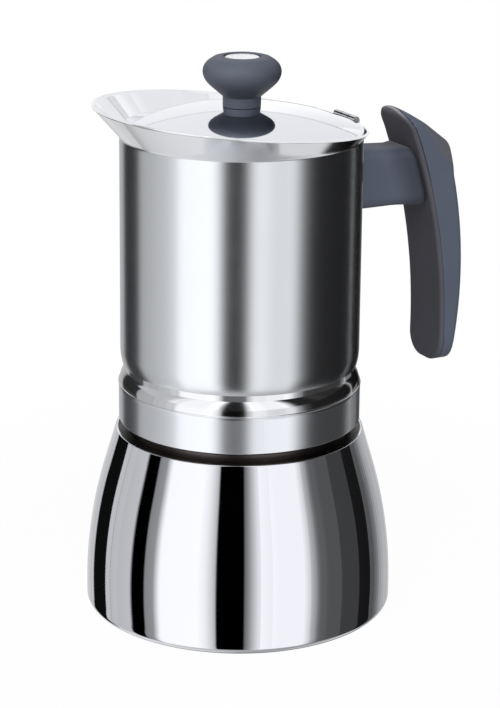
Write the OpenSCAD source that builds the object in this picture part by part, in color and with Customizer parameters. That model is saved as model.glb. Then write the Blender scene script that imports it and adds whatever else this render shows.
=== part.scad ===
// Stovetop moka pot: a screw-together pressure boiler and pouring jug with a hinged lid.
// Millimetres. Origin on the axis at the foot, +X towards the handle, -X towards the spout, +Z up.

/* [Boiler] */
// Largest radius of the boiler, near its foot
boiler_radius = 53.6; // [40:0.1:70]
// Radius of the long side curve, seen from the side
boiler_side_arc = 155; // [110:1:240]
// Height at which the side starts to curve in
boiler_curve_start = 6; // [4:0.5:12]
// Height at which the curve turns into the straight shoulder
boiler_curve_end = 50; // [38:0.5:56]
// Height of the boiler's shoulder
boiler_height = 63.9; // [56:0.1:80]
// Radius of the boiler at its shoulder
shoulder_radius = 43.1; // [42.5:0.1:46]
// Rounding of the foot edge
foot_rounding = 3; // [1:0.5:4]
// Sheet thickness of the boiler
boiler_wall = 1; // [0.8:0.1:1.5]

/* [Screw joint] */
// Outer radius of the boiler's neck, over the thread
neck_radius = 39.2; // [37:0.1:39.5]
// Wall of the threaded neck
neck_wall = 2.4; // [1.8:0.1:3]
// Height of the neck above the shoulder
neck_height = 13.1; // [11:0.1:16]
// Depth of the neck's thread
thread_depth = 0.6; // [0.3:0.05:0.9]
// Rise of the jug for one turn of the thread
thread_pitch = 4; // [2.5:0.5:5]
// Radial clearance between the neck and the collar's thread land
thread_clearance = 0.35; // [0.3:0.05:0.6]
// Height of the open recess between shoulder and collar
recess_height = 3.2; // [2:0.1:5]

/* [Funnel] */
// Depth of the coffee basket below the neck's lip
basket_depth = 22; // [15:0.5:28]
// Height of the funnel's cone under the basket
cone_height = 7; // [5:0.5:12]
// Sheet thickness of the funnel
funnel_wall = 0.6; // [0.5:0.1:1]
// Clearance between the basket and the neck's bore
basket_clearance = 0.5; // [0.3:0.1:1]
// Outer radius of the funnel's tube
stem_radius = 6; // [4.5:0.1:7]
// Gap from the tube's end to the boiler's floor
stem_gap = 6; // [4:0.5:12]

/* [Filter and gasket] */
// Thickness of the gasket ring
gasket_thickness = 2.3; // [1.8:0.1:3.2]
// Inner radius of the gasket ring
gasket_inner = 31.5; // [29:0.5:34]
// Thickness of the filter plate
filter_thickness = 0.6; // [0.5:0.1:1]
// Radius of the outermost ring of holes in both screens
hole_ring = 26; // [20:0.5:27]
// Rings of holes in each screen
hole_rows = 4; // [2:1:4]
// Radius of one screen hole
hole_radius = 0.8; // [0.5:0.1:1]

/* [Jug] */
// Outer radius of the jug
jug_radius = 41.4; // [40.5:0.1:44]
// Height of the jug's bottom edge above the filter plate
jug_base_height = 7.1; // [5:0.1:14]
// Rounding of the jug's bottom corner, seen from the side
jug_corner = 20; // [16:1:30]
// Height over which that corner runs
jug_corner_height = 5.4; // [3:0.1:7]
// Height of the jug's body, from its bottom edge to the seam where the flare starts
seam_height = 79.7; // [70:0.1:110]
// Sheet thickness of the jug
jug_wall = 0.8; // [0.6:0.1:1.2]
// Outward slope of the flare, sideways per unit of height
flare_slope = 0.88; // [0.7:0.01:1.1]
// Height of the rim's sloping plane above the seam, on the axis
rim_height = 6; // [5.2:0.1:8.5]
// Slope of the rim, rising to the spout, in degrees
rim_tilt = 6; // [3:0.1:6.5]

/* [Collar] */
// Outer radius of the collar
collar_radius = 41.96; // [41.5:0.01:44]
// Height of the collar's straight side, up to its polished edge
collar_edge_height = 15.3; // [14:0.1:16.5]
// Rounding of the collar's shoulder
collar_rounding = 3; // [2:0.1:3.5]
// Radius of the waist between collar and jug
waist_radius = 39.8; // [38.5:0.1:40.2]

/* [Column] */
// Radius of the column at its foot
column_foot_radius = 8.5; // [7:0.1:10]
// Radius of the column at its top
column_top_radius = 5; // [4:0.1:6]
// Height of the column above the jug's floor
column_height = 52; // [40:1:60]
// Radius of the column's two side outlets
outlet_radius = 2; // [1.5:0.1:2.5]

/* [Lid] */
// Radius of the lid
lid_radius = 41.4; // [40:0.1:41.4]
// Height of the lid's edge above the seam
lid_edge_height = 1.6; // [1.4:0.1:2.3]
// Rise of the lid's dome above its edge
lid_rise = 7.7; // [5:0.1:9]
// Sheet thickness of the lid
lid_wall = 0.8; // [0.6:0.1:1]

/* [Hinge] */
// Distance of the hinge's axis from the pot's axis
hinge_reach = 41; // [40.8:0.1:41.4]
// Height of the hinge's axis above the seam
hinge_height = 2.7; // [2.5:0.1:3.2]
// Outer radius of the hinge's barrel
barrel_radius = 1.1; // [1:0.05:1.2]
// Radius of the hinge's pin
pin_radius = 0.5; // [0.4:0.05:0.6]
// Radial clearance of the pin in the barrel
pin_clearance = 0.05; // [0.02:0.01:0.1]
// Length of the barrel
barrel_length = 14; // [12:0.5:17]
// Length of the barrel's middle part
knuckle_length = 4.8; // [4:0.1:6]
// Side gap beside the middle part
knuckle_gap = 0.3; // [0.2:0.05:0.5]

/* [Knob] */
// Radius of the knob's neck
knob_neck_radius = 6.5; // [5.5:0.1:8]
// Height of the knob's neck
knob_neck_height = 3.9; // [2:0.1:8]
// Largest radius of the knob
knob_radius = 13.45; // [11:0.05:18]
// Radius of the knob's round edge
knob_edge = 5.2; // [4:0.1:6]
// Height of the whole knob above the lid
knob_height = 17.9; // [16:0.1:26]
// Radius of the metal disc in the knob's top
insert_radius = 6.2; // [4:0.1:7]
// Thickness of the ring under the knob
knob_washer_thickness = 0.4; // [0.2:0.1:1]
// Radius of the knob's screw
knob_screw_radius = 2; // [1.5:0.1:2.5]

/* [Handle arm] */
// Width of the arm
arm_width = 16; // [14:0.5:20]
// Distance of the arm's underside below the seam
arm_bottom = 29; // [22:0.1:37]
// Distance of the arm's top below the seam
arm_top = 7.6; // [3.5:0.1:12]
// Rounding of the arm's long edges
arm_rounding = 3; // [1:0.5:5]
// Thickness of the welded steel plate inside the arm
bracket_wall = 1; // [0.8:0.1:1.5]
// Length of the steel tongue, from the jug's wall
tongue_length = 15; // [13:0.5:17]
// Distance of the arm's screw from the jug's wall
screw_distance = 9; // [7.5:0.5:11]
// Width of the steel tongue inside the arm
tongue_width = 6; // [4:0.5:8]
// Radius of the arm's screw
arm_screw_radius = 2; // [1.5:0.1:2.5]

/* [Grip] */
// Width of the grip
grip_width = 21; // [18:0.5:26]
// Radius of the grip's inner curve
grip_inner_arc = 201.8; // [180:0.1:220]
// Distance of that curve's centre behind the pot's axis
grip_inner_back = 125.9; // [110:0.1:140]
// Distance of that curve's centre below the seam
grip_inner_height = 76.3; // [70:0.1:83]
// Radius of the grip's outer curve
grip_outer_arc = 161.4; // [150:0.1:180]
// Distance of the outer curve's centre behind the pot's axis
grip_outer_back = 75.2; // [65:0.1:90]
// Distance of the outer curve's centre below the seam
grip_outer_height = 56.5; // [47:0.1:67]
// Radius of the crown across the grip's back
grip_crown = 23; // [15:0.5:40]
// Thickness of the grip's inner layer
grip_layer = 1.8; // [1.5:0.1:3.5]
// Distance of the grip's lower end below the seam
grip_bottom = 89.5; // [67:0.1:97]
// Rounding of the grip's lower corners
grip_end_rounding = 9; // [2:0.5:10]
// Downward slope of the thumb rest, in degrees
thumb_slope = 35.4; // [25:0.1:45]
// Distance of the thumb rest's tip from the pot's axis
thumb_reach = 60; // [58:0.1:62]
// Height of the thumb rest's tip above the seam
thumb_height = 5.3; // [3:0.1:8]
// Height of the grip's rounded top above the seam
thumb_top_height = 4.9; // [4:0.1:6]
// Radius of the grip's rounded top, seen from the pot
thumb_rounding = 11.6; // [10.5:0.1:14]

/* [Valve] */
// Height of the valve's axis
valve_height = 36; // [28:0.5:42]
// Radius of the flat pressed into the boiler for the valve
valve_pad_radius = 8; // [7:0.1:9]
// How far that flat stands out from the wall at the valve's height
valve_pad_reach = 1.13; // [0.8:0.01:1.6]
// Radius of the valve's threaded shank
valve_shank_radius = 3.5; // [3:0.1:4]
// Width across the corners of the valve's hexagon
valve_hex = 13; // [11:0.5:14]
// Radius of the valve's pin
valve_pin_radius = 1.75; // [1.3:0.05:2]
// Travel of the valve's pin
valve_travel = 2; // [1:0.1:3]
// Height of the valve's hexagon
valve_hex_height = 4.4; // [3:0.1:6]
// Length of the valve's round nose past the hexagon
valve_nose = 4; // [2:0.1:6]
// Height of the valve's nut
valve_nut_height = 4.2; // [3:0.1:5]
// Thickness of the valve's washer
valve_washer_thickness = 0.8; // [0.5:0.1:1.5]

/* [Hidden] */
fine = 128;
round_small = 32;
eps = 0.01;
fit_gap = 0.1;
boiler_curve_drop = sqrt(pow(boiler_side_arc, 2) - pow(boiler_curve_end - boiler_curve_start, 2));
boiler_curve_radius = boiler_radius - boiler_side_arc + boiler_curve_drop;
neck_top = boiler_height + neck_height;
neck_bore = neck_radius - neck_wall;
neck_root = neck_radius - thread_depth;
thread_bore = neck_radius + thread_clearance;
collar_bottom = boiler_height + recess_height;
basket_radius = neck_bore - basket_clearance;
basket_bottom = neck_top - basket_depth;
cone_bottom = basket_bottom - cone_height;
stem_bottom = boiler_wall + stem_gap;
flange_radius = neck_root;
gasket_bottom = neck_top + funnel_wall;
gasket_top = gasket_bottom + gasket_thickness;
plate_radius = neck_root - 0.6;
filter_top = gasket_top + filter_thickness;
seat_radius = plate_radius - 2;
collar_edge = collar_bottom + collar_edge_height;
jug_base = filter_top + jug_base_height;
seam = jug_base + seam_height;
rim_center = seam + rim_height;
lid_edge = seam + lid_edge_height;
hinge_center = seam + hinge_height;
arm_low = seam - arm_bottom;
arm_high = seam - arm_top;
grip_inner_center = seam - grip_inner_height;
grip_outer_center = seam - grip_outer_height;
grip_low = seam - grip_bottom;
thumb_tip = seam + thumb_height;
thumb_round_center = seam + thumb_top_height - thumb_rounding;
jug_curve_start = jug_base + jug_corner_height;
jug_floor = jug_base + jug_wall;
flare_wall = jug_wall * sqrt(1 + flare_slope * flare_slope);
flare_top = seam + 14;
flare_top_radius = jug_radius + flare_slope * (flare_top - seam);
drain_radius = column_foot_radius - 3;
lid_arc = (lid_radius * lid_radius + lid_rise * lid_rise) / (2 * lid_rise);
lid_apex = lid_edge + lid_wall + lid_rise;
lid_seat = lid_apex - knob_neck_radius * knob_neck_radius / (2 * lid_arc);
lid_under = lid_apex - lid_wall;
knob_base = lid_seat + knob_washer_thickness;
knob_top = lid_seat + knob_height;
knob_center_height = knob_top - knob_edge;
knob_center_radius = knob_radius - knob_edge;
cone_touch_radius = knob_center_radius + knob_edge * cos(50);
cone_touch_height = knob_center_height - knob_edge * sin(50);
insert_depth = 1.2;
hinge_slot = barrel_length / 2 + 0.3;
side_knuckle = (barrel_length - knuckle_length) / 2 - knuckle_gap;
leaf_floor = hinge_center - barrel_radius - 1.1;
lid_notch = hinge_reach - barrel_radius - 0.6;
grip_center_height = (arm_high + arm_low) / 2;
tongue_end = jug_radius + tongue_length;
tongue_low = grip_center_height - 3.5;
tongue_high = grip_center_height + 3.5;
bracket_low = arm_low + 2.7;
bracket_high = arm_high - 2.5;
bracket_half_width = arm_width / 2 - 1.2;
screw_reach = jug_radius + screw_distance;
chamfer_drop = 5;
chamfer_reach = thumb_reach + 5;
chamfer_height = thumb_tip - chamfer_drop;
chamfer_lean = 67.9;
chamfer_turn = 59.4;
valve_wall_drop = sqrt(pow(boiler_side_arc, 2) - pow(valve_height - boiler_curve_start, 2));
valve_wall = boiler_radius - boiler_side_arc + valve_wall_drop;
valve_face = valve_wall + valve_pad_reach;
valve_washer_end = valve_face + valve_washer_thickness;
valve_hex_end = valve_washer_end + valve_hex_height;
valve_nose_end = valve_hex_end + valve_nose;
valve_inner_face = valve_face - 4.6;
valve_nut_end = valve_inner_face - valve_nut_height;
valve_shank_end = valve_nut_end - 2.5;
valve_hole_radius = valve_shank_radius + fit_gap;

// ---------- helpers ----------

// Hollow round tube between two heights.
module tube(outer, inner, low, high, sides = fine) {
    difference() {
        translate([0, 0, low])
            cylinder(r = outer, h = high - low, $fn = sides);
        translate([0, 0, low - 1])
            cylinder(r = inner, h = high - low + 2, $fn = sides);
    }
}

// Round bar lying along Y between two positions.
module y_bar(radius, from_y, to_y, sides = round_small) {
    translate([0, from_y, 0])
        rotate([-90, 0, 0])
            cylinder(r = radius, h = to_y - from_y, $fn = sides);
}

// Rings of small holes through a flat screen.
module screen_holes(low, high) {
    for (row = [1 : hole_rows]) {
        for (step = [0 : 6 * row - 1]) {
            rotate([0, 0, 360 * step / (6 * row)])
                translate([hole_ring * row / hole_rows, 0, low - 1])
                    cylinder(r = hole_radius, h = high - low + 2, $fn = 16);
        }
    }
}

// Outline of the boiler, set in by the given amount.
module boiler_outline(inset) {
    low = inset;
    straight = boiler_curve_start;
    translate([0, low])
        square([boiler_radius - foot_rounding, straight - low]);
    translate([0, foot_rounding])
        square([boiler_radius - inset, straight - foot_rounding]);
    intersection() {
        translate([boiler_radius - foot_rounding, foot_rounding])
            circle(r = foot_rounding - inset, $fn = 48);
        translate([boiler_radius - foot_rounding, 0])
            square([foot_rounding, foot_rounding]);
    }
    intersection() {
        translate([0, straight])
            square([boiler_radius, boiler_curve_end - straight]);
        translate([boiler_radius - boiler_side_arc, straight])
            circle(r = boiler_side_arc - inset, $fn = 360);
    }
    slope_inset = inset * 1.045;
    polygon([
        [0, boiler_curve_end],
        [boiler_curve_radius - slope_inset, boiler_curve_end],
        [shoulder_radius - slope_inset, boiler_height - inset],
        [0, boiler_height - inset]
    ]);
}

// Outline of the jug's body, set in by the given amount.
module jug_outline(inset, top) {
    translate([0, jug_curve_start])
        square([jug_radius - inset, top - jug_curve_start]);
    translate([0, jug_base + inset])
        square([jug_radius - jug_corner, jug_corner_height - inset]);
    intersection() {
        translate([0, jug_base + inset])
            square([jug_radius, jug_corner_height - inset]);
        translate([jug_radius - jug_corner, jug_curve_start])
            circle(r = jug_corner - inset, $fn = 180);
    }
}

// Everything above the rim's sloping plane.
module above_rim() {
    translate([0, 0, rim_center])
        rotate([0, rim_tilt, 0])
            translate([-80, -80, 0])
                cube([160, 160, 60]);
}

// Dome of the lid as a solid ball segment, set in by the given amount.
module lid_ball(inset) {
    translate([0, 0, lid_apex - lid_arc])
        sphere(r = lid_arc - inset, $fn = 180);
}

// Bar on the hinge's axis.
module hinge_bar(radius, from_y, to_y) {
    translate([hinge_reach, 0, hinge_center])
        y_bar(radius, from_y, to_y);
}

// Round body about the centre of the grip's inner curve.
module grip_inner_round(extra) {
    translate([-grip_inner_back, 0, grip_inner_center])
        y_bar(grip_inner_arc + extra, -grip_width, grip_width, 360);
}

// Grip without its inner hollow side: crowned back, rounded ends and thumb rest.
module grip_blank() {
    half = grip_width / 2;
    difference() {
        intersection() {
            translate([-grip_outer_back, 0, grip_outer_center])
                rotate([90, 0, 0])
                    rotate_extrude($fn = 360)
                        intersection() {
                            translate([grip_outer_arc - 26, -half])
                                square([26, grip_width]);
                            translate([grip_outer_arc - grip_crown, 0])
                                circle(r = grip_crown, $fn = 96);
                        }
            translate([40, 0, 0])
                rotate([90, 0, 90])
                    linear_extrude(height = 60)
                        grip_front_outline();
        }
        translate([thumb_reach, 0, thumb_tip])
            rotate([0, thumb_slope, 0])
                translate([-60, -30, 0])
                    cube([160, 60, 60]);
        for (side = [-1, 1]) {
            translate([chamfer_reach, side * half, chamfer_height])
                rotate([0, chamfer_lean, side * chamfer_turn])
                    translate([-60, -60, 0])
                        cube([120, 120, 40]);
        }
    }
}

// Outline of the grip seen from the pot: a tall bar with a round top and rounded corners.
module grip_front_outline() {
    half = grip_width / 2;
    r = grip_end_rounding;
    translate([-half, grip_low + r])
        square([grip_width, thumb_round_center - grip_low - r]);
    intersection() {
        translate([0, thumb_round_center])
            circle(r = thumb_rounding, $fn = 96);
        translate([-half, thumb_round_center - thumb_rounding])
            square([grip_width, 2 * thumb_rounding]);
    }
    translate([-half + r, grip_low])
        square([grip_width - 2 * r, 2 * r]);
    for (side = [-1, 1]) {
        translate([side * (half - r), grip_low + r])
            circle(r = r, $fn = 48);
    }
}

// Rounded section of the arm, seen along X.
module arm_section() {
    half = arm_width / 2;
    r = arm_rounding;
    translate([-half + r, arm_low])
        square([arm_width - 2 * r, arm_high - arm_low]);
    translate([-half, arm_low + r])
        square([arm_width, arm_high - arm_low - 2 * r]);
    for (side = [-1, 1]) {
        for (level = [arm_low + r, arm_high - r]) {
            translate([side * (half - r), level])
                circle(r = r, $fn = 48);
        }
    }
}

// ---------- boiler ----------

module boiler_shell() {
    color([0.78, 0.79, 0.81])
        difference() {
            union() {
                difference() {
                    rotate_extrude($fn = fine)
                        boiler_outline(0);
                    rotate_extrude($fn = fine)
                        boiler_outline(boiler_wall);
                }
                translate([0, 0, valve_height])
                    y_bar(valve_pad_radius, valve_inner_face, valve_face, 48);
            }
            translate([0, 0, valve_height])
                y_bar(valve_hole_radius, valve_inner_face - 5, valve_face + 5);
            translate([0, 0, boiler_height - 5])
                cylinder(r = neck_root + fit_gap, h = 10, $fn = fine);
        }
}

module boiler_neck() {
    low = boiler_height - boiler_wall - 2;
    color([0.62, 0.63, 0.65])
        difference() {
            union() {
                translate([0, 0, low])
                    cylinder(r = neck_root, h = neck_top - low, $fn = fine);
                translate([0, 0, low])
                    cylinder(r = neck_root + 1.6, h = 2, $fn = fine);
                for (turn = [0 : 1]) {
                    translate([0, 0, boiler_height + 5.2 + turn * thread_pitch])
                        thread_land();
                }
            }
            translate([0, 0, low - 1])
                cylinder(r = neck_bore, h = neck_height + 20, $fn = fine);
        }
}

// One rounded land of the neck's thread.
module thread_land() {
    cylinder(r1 = neck_root, r2 = neck_radius, h = thread_depth, $fn = fine);
    translate([0, 0, thread_depth])
        cylinder(r = neck_radius, h = 0.8, $fn = fine);
    translate([0, 0, thread_depth + 0.8])
        cylinder(r1 = neck_radius, r2 = neck_root, h = thread_depth, $fn = fine);
}

// ---------- safety valve ----------

module valve_body() {
    color([0.80, 0.64, 0.34])
        translate([0, 0, valve_height])
            difference() {
                union() {
                    y_bar(valve_shank_radius, valve_shank_end, valve_washer_end + 1);
                    y_bar(valve_hex / 2, valve_washer_end, valve_hex_end, 6);
                    y_bar(valve_shank_radius + 0.9, valve_hex_end, valve_nose_end);
                }
                y_bar(valve_pin_radius + pin_clearance, valve_shank_end - 1, valve_nose_end + 1);
            }
}

module valve_washer() {
    color([0.75, 0.30, 0.22])
        translate([0, 0, valve_height])
            difference() {
                y_bar(valve_shank_radius + 2.4, valve_face, valve_washer_end);
                y_bar(valve_hole_radius, valve_face - 1, valve_washer_end + 1);
            }
}

module valve_nut() {
    color([0.78, 0.62, 0.33])
        translate([0, 0, valve_height])
            difference() {
                y_bar(valve_hex / 2, valve_nut_end, valve_inner_face, 6);
                y_bar(valve_shank_radius + pin_clearance, valve_nut_end - 1, valve_inner_face + 1);
            }
}

module valve_pin() {
    head_end = valve_shank_end - valve_travel - 0.2;
    color([0.70, 0.71, 0.73])
        translate([0, 0, valve_height]) {
            y_bar(valve_pin_radius, head_end - 1, valve_nose_end + 1.5);
            y_bar(valve_pin_radius + 1.1, head_end - 1.4, head_end);
        }
}

// ---------- funnel ----------

module funnel_cup() {
    color([0.74, 0.75, 0.77])
        rotate_extrude($fn = fine)
            polygon([
                [stem_radius, cone_bottom],
                [basket_radius, basket_bottom],
                [basket_radius, neck_top],
                [flange_radius, neck_top],
                [flange_radius, neck_top + funnel_wall],
                [basket_radius - funnel_wall, neck_top + funnel_wall],
                [basket_radius - funnel_wall, basket_bottom + funnel_wall],
                [stem_radius, cone_bottom + funnel_wall]
            ]);
}

module funnel_screen() {
    low = basket_bottom + funnel_wall;
    high = low + funnel_wall;
    color([0.72, 0.73, 0.75])
        difference() {
            translate([0, 0, low])
                cylinder(r = basket_radius - funnel_wall - fit_gap, h = high - low, $fn = fine);
            screen_holes(low, high);
        }
}

module funnel_stem() {
    color([0.74, 0.75, 0.77])
        tube(stem_radius, stem_radius - funnel_wall - 0.2, stem_bottom, cone_bottom + funnel_wall, 48);
}

// ---------- gasket and filter ----------

module gasket() {
    color([0.86, 0.85, 0.82])
        tube(plate_radius, gasket_inner, gasket_bottom, gasket_top);
}

module filter_plate() {
    color([0.76, 0.77, 0.79])
        difference() {
            translate([0, 0, gasket_top])
                cylinder(r = plate_radius, h = filter_thickness, $fn = fine);
            screen_holes(gasket_top, filter_top);
        }
}

// ---------- jug ----------

module jug_shell() {
    color([0.80, 0.81, 0.83])
        difference() {
            rotate_extrude($fn = fine) {
                jug_outline(0, seam);
                polygon([
                    [0, seam],
                    [jug_radius, seam],
                    [flare_top_radius, flare_top],
                    [0, flare_top]
                ]);
            }
            rotate_extrude($fn = fine)
                jug_outline(jug_wall, seam + 0.4);
            rotate_extrude($fn = fine)
                polygon([
                    [0, seam],
                    [jug_radius - flare_wall, seam],
                    [flare_top_radius - flare_wall + flare_slope, flare_top + 1],
                    [0, flare_top + 1]
                ]);
            above_rim();
            translate([0, 0, jug_base - 1])
                cylinder(r = drain_radius, h = 4, $fn = 48);
            translate([38, -hinge_slot, leaf_floor])
                cube([10, 2 * hinge_slot, 20]);
        }
}

module jug_collar() {
    color([0.77, 0.78, 0.80])
        rotate_extrude($fn = fine)
            difference() {
                union() {
                    translate([seat_radius, filter_top])
                        square([waist_radius - seat_radius, jug_base - filter_top]);
                    translate([thread_bore, collar_bottom])
                        square([collar_radius - thread_bore, collar_edge - collar_bottom]);
                    translate([thread_bore - 1, filter_top])
                        square([1.5, 2]);
                    intersection() {
                        translate([collar_radius - collar_rounding, collar_edge])
                            circle(r = collar_rounding, $fn = 64);
                        translate([seat_radius, collar_edge])
                            square([20, 10]);
                    }
                }
                translate([seat_radius - 5, collar_bottom - 1])
                    square([thread_bore - seat_radius + 5, filter_top - collar_bottom + 1]);
            }
}

module coffee_column() {
    top = jug_floor + column_height;
    color([0.76, 0.77, 0.79])
        difference() {
            union() {
                translate([0, 0, jug_floor])
                    cylinder(r = column_foot_radius + 3.5, h = 0.8, $fn = 48);
                translate([0, 0, jug_floor])
                    cylinder(r1 = column_foot_radius, r2 = column_top_radius, h = column_height, $fn = 48);
            }
            translate([0, 0, jug_floor - eps])
                cylinder(r1 = column_foot_radius - 1, r2 = column_top_radius - 1,
                         h = column_height + 2 * eps, $fn = 48);
            translate([0, 0, top - 9])
                y_bar(outlet_radius, -10, 10);
        }
}

module column_cap() {
    top = jug_floor + column_height;
    color([0.76, 0.77, 0.79])
        difference() {
            union() {
                translate([0, 0, top - 4])
                    cylinder(r = column_top_radius + 1.4, h = 5, $fn = 48);
                translate([0, 0, top + 1])
                    cylinder(r1 = column_top_radius + 1.4, r2 = column_top_radius - 1.5, h = 1.4, $fn = 48);
            }
            translate([0, 0, top - 5])
                cylinder(r = column_top_radius + 0.4, h = 5, $fn = 48);
        }
}

// ---------- hinge ----------

module jug_hinge_leaf() {
    half = barrel_length / 2;
    base_top = hinge_center - barrel_radius - 0.3;
    color([0.75, 0.76, 0.78])
        difference() {
            union() {
                translate([hinge_reach - 0.1, -half, leaf_floor])
                    cube([1.3, barrel_length, base_top - leaf_floor]);
                for (side = [-1, 1]) {
                    low = side > 0 ? half - side_knuckle : -half;
                    hinge_bar(barrel_radius, low, low + side_knuckle);
                    translate([hinge_reach - 0.1, low, leaf_floor])
                        cube([1.3, side_knuckle, hinge_center - leaf_floor]);
                }
            }
            hinge_bar(pin_radius, -half - 1, half + 1);
        }
}

module hinge_pin() {
    color([0.66, 0.67, 0.69])
        hinge_bar(pin_radius, -barrel_length / 2 - 0.2, barrel_length / 2 + 0.2);
}

// ---------- lid ----------

module lid_plate() {
    edge_ball = lid_apex - lid_arc;
    bead = lid_wall * 0.75;
    color([0.82, 0.83, 0.85])
        difference() {
            union() {
                difference() {
                    intersection() {
                        lid_ball(0);
                        translate([0, 0, lid_edge - 3])
                            cylinder(r = lid_radius - bead, h = 30, $fn = fine);
                    }
                    lid_ball(lid_wall);
                }
                rotate_extrude($fn = fine)
                    translate([lid_radius - bead, lid_edge + bead])
                        circle(r = bead, $fn = 24);
            }
            translate([lid_notch, -hinge_slot, lid_edge - 5])
                cube([10, 2 * hinge_slot, 20]);
            translate([0, 0, lid_seat])
                cylinder(r = knob_neck_radius + 4, h = 5, $fn = 48);
            translate([0, 0, lid_under - 5])
                cylinder(r = knob_screw_radius + fit_gap, h = 10, $fn = round_small);
        }
}

module lid_hinge_leaf() {
    half = knuckle_length / 2;
    color([0.75, 0.76, 0.78])
        difference() {
            union() {
                intersection() {
                    difference() {
                        lid_ball(lid_wall);
                        lid_ball(lid_wall + 0.8);
                    }
                    translate([lid_notch - 8, -half, lid_edge - 5])
                        cube([8 + 0.4, knuckle_length, 20]);
                }
                translate([lid_notch, -half, lid_edge - 0.6])
                    cube([1.2, knuckle_length, hinge_center - lid_edge + 0.6]);
                hinge_bar(barrel_radius, -half, half);
            }
            hinge_bar(pin_radius + pin_clearance, -half - 1, half + 1);
        }
}

// ---------- knob ----------

module knob_washer() {
    color([0.10, 0.10, 0.11])
        tube(knob_neck_radius - 0.3, knob_screw_radius + fit_gap, lid_seat, knob_base, 48);
}

module knob_body() {
    neck_end = lid_seat + knob_neck_height;
    color([0.27, 0.29, 0.33])
        difference() {
            rotate_extrude($fn = 96) {
                translate([0, knob_base])
                    square([knob_neck_radius, neck_end - knob_base]);
                polygon([
                    [0, neck_end],
                    [knob_neck_radius, neck_end],
                    [cone_touch_radius, cone_touch_height],
                    [knob_center_radius, knob_center_height],
                    [knob_center_radius, knob_top],
                    [0, knob_top]
                ]);
                intersection() {
                    translate([knob_center_radius, knob_center_height])
                        circle(r = knob_edge, $fn = 96);
                    translate([knob_center_radius - eps, knob_center_height - knob_edge])
                        square([2 * knob_edge, 2 * knob_edge]);
                }
            }
            translate([0, 0, knob_top - insert_depth])
                cylinder(r = insert_radius + 0.3, h = 5, $fn = 48);
            translate([0, 0, knob_base - 1])
                cylinder(r = knob_screw_radius + pin_clearance, h = 10, $fn = round_small);
        }
}

module knob_insert() {
    color([0.84, 0.85, 0.86])
        translate([0, 0, knob_top - insert_depth])
            cylinder(r = insert_radius, h = insert_depth + 0.1, $fn = 48);
}

module knob_screw() {
    head = lid_under - knob_screw_radius * knob_screw_radius * 2 / lid_arc - 0.1;
    color([0.68, 0.69, 0.71])
        difference() {
            union() {
                translate([0, 0, head - 2])
                    cylinder(r = knob_screw_radius + 1.8, h = 2, $fn = round_small);
                translate([0, 0, head - 2])
                    cylinder(r = knob_screw_radius, h = knob_base + 8 - head, $fn = round_small);
            }
            translate([-5, -0.5, head - 3])
                cube([10, 1, 1.8]);
        }
}

// ---------- handle ----------

module handle_bracket() {
    outer = jug_radius + bracket_wall;
    color([0.70, 0.71, 0.73])
        difference() {
            union() {
                intersection() {
                    translate([0, 0, bracket_low])
                        cylinder(r = outer, h = bracket_high - bracket_low, $fn = fine);
                    translate([30, -bracket_half_width, bracket_low - 1])
                        cube([20, 2 * bracket_half_width, 40]);
                }
                translate([jug_radius - 1, -tongue_width / 2, tongue_low])
                    cube([tongue_end - jug_radius + 1, tongue_width, tongue_high - tongue_low]);
            }
            translate([0, 0, bracket_low - 5])
                cylinder(r = jug_radius, h = 50, $fn = fine);
            translate([screw_reach, 0, tongue_low - 1])
                cylinder(r = arm_screw_radius + fit_gap, h = 20, $fn = round_small);
        }
}

module handle_arm() {
    plate = jug_radius + bracket_wall + fit_gap;
    half = bracket_half_width + fit_gap;
    color([0.30, 0.32, 0.37])
        difference() {
            intersection() {
                translate([20, 0, 0])
                    rotate([90, 0, 90])
                        linear_extrude(height = 60)
                            arm_section();
                grip_inner_round(0);
            }
            translate([0, 0, arm_low - 1])
                cylinder(r = jug_radius + fit_gap, h = 40, $fn = fine);
            intersection() {
                translate([0, 0, bracket_low - fit_gap])
                    cylinder(r = plate, h = bracket_high - bracket_low + 2 * fit_gap, $fn = fine);
                translate([30, -half, bracket_low - 1])
                    cube([20, 2 * half, 40]);
            }
            translate([jug_radius, -tongue_width / 2 - fit_gap, tongue_low - fit_gap])
                cube([tongue_end - jug_radius + fit_gap, tongue_width + 2 * fit_gap,
                      tongue_high - tongue_low + 2 * fit_gap]);
            translate([screw_reach, 0, arm_low - 1])
                cylinder(r = arm_screw_radius + fit_gap, h = 20, $fn = round_small);
            translate([screw_reach, 0, arm_low - 1])
                cylinder(r = arm_screw_radius + 2, h = 3.5, $fn = round_small);
        }
}

module handle_screw() {
    head = arm_low + 2.5;
    color([0.66, 0.67, 0.69])
        difference() {
            union() {
                translate([screw_reach, 0, head - 1.9])
                    cylinder(r = arm_screw_radius + 1.6, h = 1.9, $fn = round_small);
                translate([screw_reach, 0, head - 1.9])
                    cylinder(r = arm_screw_radius, h = tongue_high - head + 1.9, $fn = round_small);
            }
            translate([screw_reach - 4, -0.5, head - 3])
                cube([8, 1, 2]);
        }
}

module grip_front() {
    color([0.24, 0.24, 0.27])
        difference() {
            intersection() {
                grip_blank();
                grip_inner_round(grip_layer);
            }
            grip_inner_round(0);
        }
}

module grip_back() {
    color([0.31, 0.34, 0.40])
        difference() {
            grip_blank();
            grip_inner_round(grip_layer);
        }
}

// ---------- assembly ----------

boiler_shell();
boiler_neck();
valve_body();
valve_washer();
valve_nut();
valve_pin();
funnel_cup();
funnel_screen();
funnel_stem();
gasket();
filter_plate();
jug_shell();
jug_collar();
coffee_column();
column_cap();
jug_hinge_leaf();
hinge_pin();
lid_plate();
lid_hinge_leaf();
knob_washer();
knob_body();
knob_insert();
knob_screw();
handle_bracket();
handle_arm();
handle_screw();
grip_front();
grip_back();
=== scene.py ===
import math

import bpy
import numpy as np
from mathutils import Matrix


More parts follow.
